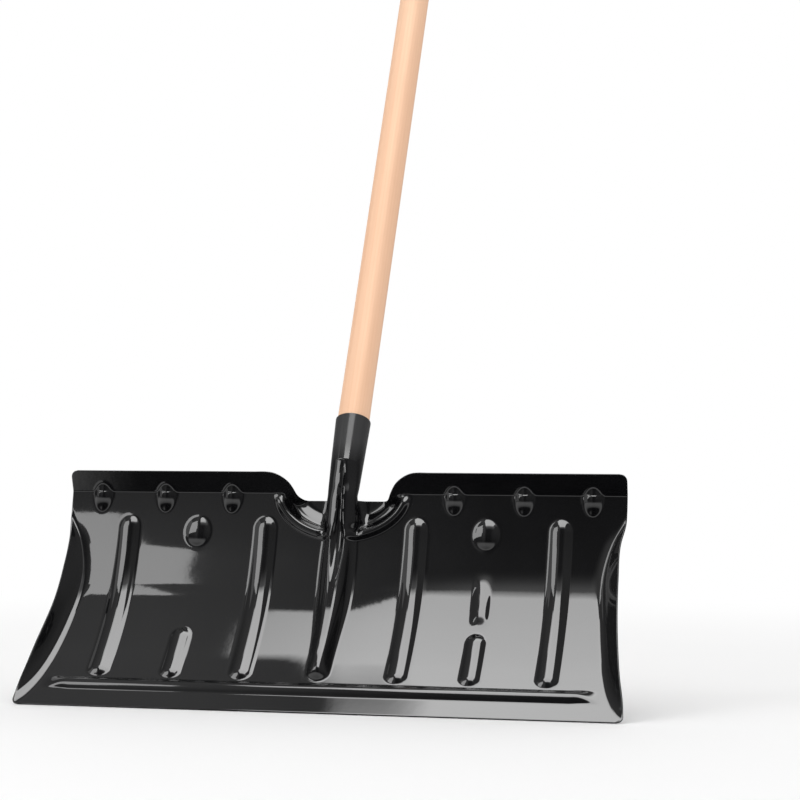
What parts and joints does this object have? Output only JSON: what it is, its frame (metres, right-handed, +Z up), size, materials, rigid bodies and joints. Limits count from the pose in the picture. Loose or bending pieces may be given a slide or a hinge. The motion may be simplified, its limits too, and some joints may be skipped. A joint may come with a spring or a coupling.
{
  "type": "snow shovel",
  "caption": "Snow pusher with a wide ribbed scoop blade pressed from black sheet steel and a straight wooden pole held in the blade's rolled socket.",
  "frame": {"origin": "middle of the cutting edge, at the middle of the sheet's thickness", "axes": "+X along the cutting edge, -Y the hollow front of the blade, +Z up with the shovel standing on its edge; the pole leans back towards +Y"},
  "size_m": [0.5926, 0.7284, 1.2718],
  "materials": {
    "black_paint": "gloss black enamel on sheet steel",
    "wood": "smooth sanded pale hardwood, thin clear finish",
    "screw_steel": "black coated steel screw"
  },
  "bodies": {
    "root": {"blade": "black_paint", "handle": "wood", "socket_screw": "screw_steel"}
  },
  "joints": []
}
